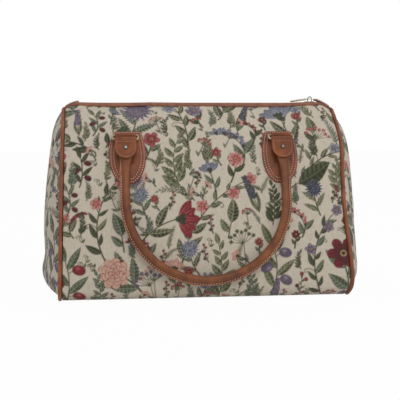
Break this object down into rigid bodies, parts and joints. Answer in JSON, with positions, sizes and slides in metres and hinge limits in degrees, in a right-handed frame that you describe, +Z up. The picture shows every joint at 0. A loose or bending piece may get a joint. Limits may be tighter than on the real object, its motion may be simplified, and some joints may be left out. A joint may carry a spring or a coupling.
{
  "type": "handbag",
  "caption": "Zipped tapestry handbag with a flat base, bulging ends, leather piping and two rolled leather handles on hinged rings.",
  "frame": {"origin": "centre of the flat base, on the surface it stands on", "axes": "+X along the bag to the slider end, -Y out of the front, +Z up"},
  "size_m": [0.3906, 0.2184, 0.2366],
  "materials": {
    "tapestry": "jacquard tapestry weave, cream ground with a woven botanical print",
    "lining_cloth": "plain woven lining",
    "stiff_board": "smooth board",
    "piping_leather": "tan leather, lightly grained",
    "binding_leather": "tan leather, lightly grained",
    "zip_tape_cloth": "twill zip tape",
    "zip_teeth": "tan moulded teeth",
    "end_tab_cloth": "folded plain cloth",
    "patch_leather": "tan leather, lightly grained, with pale stitching",
    "ring_metal": "pale antique brass",
    "handle_leather": "smooth tan leather with a light sheen",
    "rivet_metal": "polished nickel",
    "slider_metal": "polished nickel",
    "pull_metal": "pale satin metal"
  },
  "bodies": {
    "bag": {"front_panel": "tapestry", "back_panel": "tapestry", "base_panel": "tapestry", "left_end_panel": "tapestry", "right_end_panel": "tapestry", "front_lining": "lining_cloth", "back_lining": "lining_cloth", "left_end_lining": "lining_cloth", "right_end_lining": "lining_cloth", "base_board": "stiff_board", "left_piping": "piping_leather", "right_piping": "piping_leather", "front_binding": "binding_leather", "back_binding": "binding_leather", "front_zip_tape": "zip_tape_cloth", "back_zip_tape": "zip_tape_cloth", "front_zip_teeth": "zip_teeth", "back_zip_teeth": "zip_teeth", "zip_stops": "zip_teeth", "left_zip_tab": "end_tab_cloth", "right_zip_tab": "end_tab_cloth", "front_left_patch": "patch_leather", "front_right_patch": "patch_leather", "back_left_patch": "patch_leather", "back_right_patch": "patch_leather", "front_left_keeper": "patch_leather", "front_right_keeper": "patch_leather", "back_left_keeper": "patch_leather", "back_right_keeper": "patch_leather"},
    "front_rings": {"front_left_ring": "ring_metal", "front_right_ring": "ring_metal"},
    "front_handle": {"front_handle": "handle_leather", "front_left_tab": "handle_leather", "front_right_tab": "handle_leather", "front_left_rivet": "rivet_metal", "front_right_rivet": "rivet_metal"},
    "back_rings": {"back_left_ring": "ring_metal", "back_right_ring": "ring_metal"},
    "back_handle": {"back_handle": "handle_leather", "back_left_tab": "handle_leather", "back_right_tab": "handle_leather", "back_left_rivet": "rivet_metal", "back_right_rivet": "rivet_metal"},
    "slider": {"zip_slider": "slider_metal"},
    "pull": {"zip_pull": "pull_metal"}
  },
  "joints": [
    {"name": "front_ring_swing", "type": "hinge", "parent": "bag", "child": "front_rings", "pos_m": [0, -0.05462, 0.19006], "axis": [-1, 0, 0], "range_deg": [0, 120]},
    {"name": "front_handle_swing", "type": "hinge", "parent": "front_rings", "child": "front_handle", "pos_m": [0, -0.06081, 0.18601], "axis": [-1, 0, 0], "range_deg": [0, 45]},
    {"name": "back_ring_swing", "type": "hinge", "parent": "bag", "child": "back_rings", "pos_m": [0, 0.05462, 0.19006], "axis": [1, 0, 0], "range_deg": [0, 120]},
    {"name": "back_handle_swing", "type": "hinge", "parent": "back_rings", "child": "back_handle", "pos_m": [0, 0.06081, 0.18601], "axis": [1, 0, 0], "range_deg": [0, 45]},
    {"name": "zip_slide", "type": "slide", "parent": "bag", "child": "slider", "axis": [1, 0, 0], "range_m": [-0.26, 0]},
    {"name": "pull_swing", "type": "hinge", "parent": "slider", "child": "pull", "pos_m": [0.14, 0, 0.2336], "axis": [0, 1, 0], "range_deg": [0, 170]}
  ]
}
